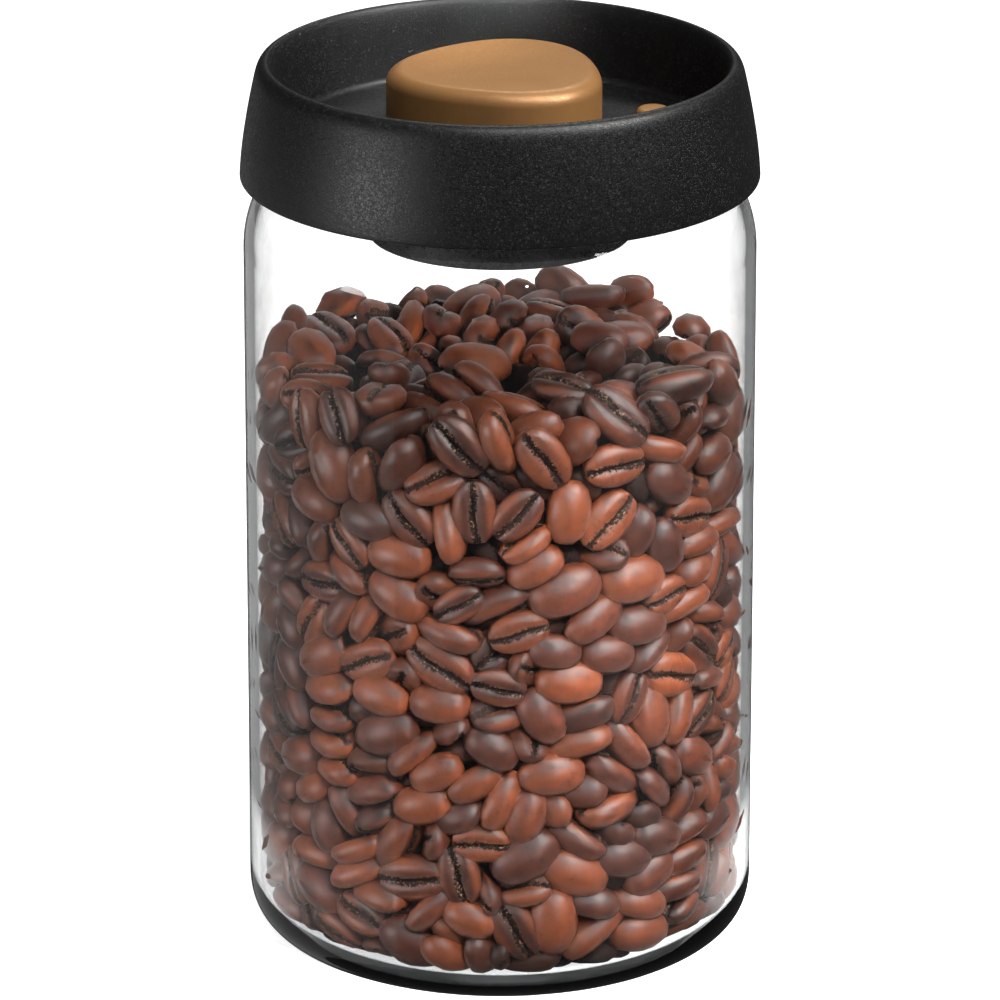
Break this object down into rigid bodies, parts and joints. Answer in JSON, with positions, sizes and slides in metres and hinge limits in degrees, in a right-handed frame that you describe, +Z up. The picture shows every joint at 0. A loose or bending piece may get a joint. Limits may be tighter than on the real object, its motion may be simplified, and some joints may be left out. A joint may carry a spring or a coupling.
{
  "type": "vacuum food canister",
  "caption": "Round glass jar of roasted coffee beans under a dished lid with a press-down vacuum pump button and a small vacuum release button.",
  "frame": {"origin": "centre of the jar's foot, on the surface it stands on", "axes": "+Z up along the jar's axis; the camera looks along +Y, with +X to its right and the release button on the +X side"},
  "size_m": [0.1062, 0.1062, 0.1886],
  "materials": {
    "jar_glass": "polished",
    "roasted_beans": "satin",
    "lid_plastic": "matte",
    "liner_plastic": "satin",
    "piston_plastic": "satin",
    "silicone": "matte",
    "gold_paint": "satin",
    "screw_steel": "satin",
    "spring_steel": "polished",
    "filter_felt": "matte"
  },
  "bodies": {
    "jar": {"glass_jar": "jar_glass", "coffee_bean_fill": "roasted_beans"},
    "lid": {"lid_outer_shell": "lid_plastic", "lid_inner_liner": "liner_plastic", "neck_gasket": "silicone", "liner_screw_1": "screw_steel", "liner_screw_2": "screw_steel", "liner_screw_3": "screw_steel", "liner_screw_4": "screw_steel", "pump_cylinder": "liner_plastic", "cylinder_seal_ring": "silicone", "check_valve": "silicone", "intake_filter": "filter_felt", "filter_cover": "liner_plastic", "return_spring": "spring_steel", "release_spring": "spring_steel"},
    "pump_button": {"pump_button_cap": "gold_paint", "piston": "piston_plastic", "piston_cup_seal": "silicone", "exhaust_flap": "silicone", "piston_screw": "screw_steel"},
    "release_button": {"release_button_cap": "gold_paint", "release_stem": "screw_steel", "release_valve_seal": "silicone"}
  },
  "joints": [
    {"name": "lid_lift", "type": "slide", "parent": "jar", "child": "lid", "axis": [0, 0, 1], "range_m": [0, 0.06]},
    {"name": "pump_press", "type": "slide", "parent": "lid", "child": "pump_button", "axis": [0, 0, -1], "range_m": [0, 0.0085], "stiffness_N_per_m": 900, "springref_m": -0.004, "deforming": ["return_spring"]},
    {"name": "release_press", "type": "slide", "parent": "lid", "child": "release_button", "axis": [0, 0, -1], "range_m": [0, 0.0018], "stiffness_N_per_m": 250, "springref_m": -0.002, "deforming": ["release_spring"]}
  ]
}
